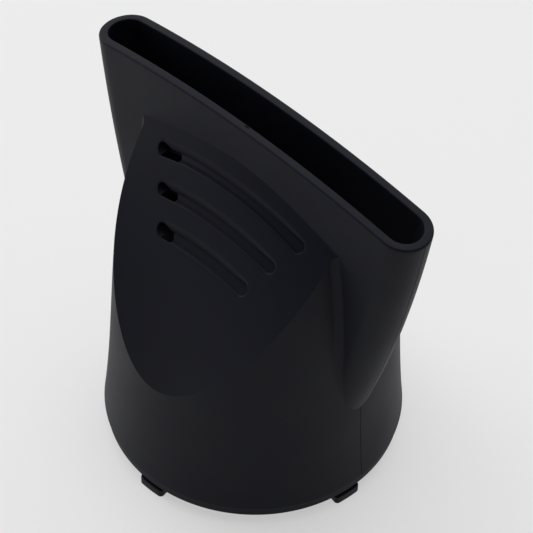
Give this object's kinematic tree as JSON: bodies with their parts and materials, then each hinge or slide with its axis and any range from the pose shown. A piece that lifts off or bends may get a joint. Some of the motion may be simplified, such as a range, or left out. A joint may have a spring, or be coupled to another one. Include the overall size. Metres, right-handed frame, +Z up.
{
  "type": "hair dryer concentrator nozzle",
  "caption": "Push-on nozzle that narrows a round air stream into a wide flat one, with sloping vented panels on both faces and lugs round its foot.",
  "frame": {"origin": "on the collar's axis, in the plane of the lugs' underside, which is the lowest plane of the part", "axes": "+Z up the collar's axis towards the outlet, X along the wide flat outlet, -Y towards the front panel"},
  "size_m": [0.0738, 0.0548, 0.0748],
  "materials": {
    "moulded_plastic": "fine satin, as moulded"
  },
  "bodies": {
    "root": {"nozzle": "moulded_plastic"}
  },
  "joints": []
}
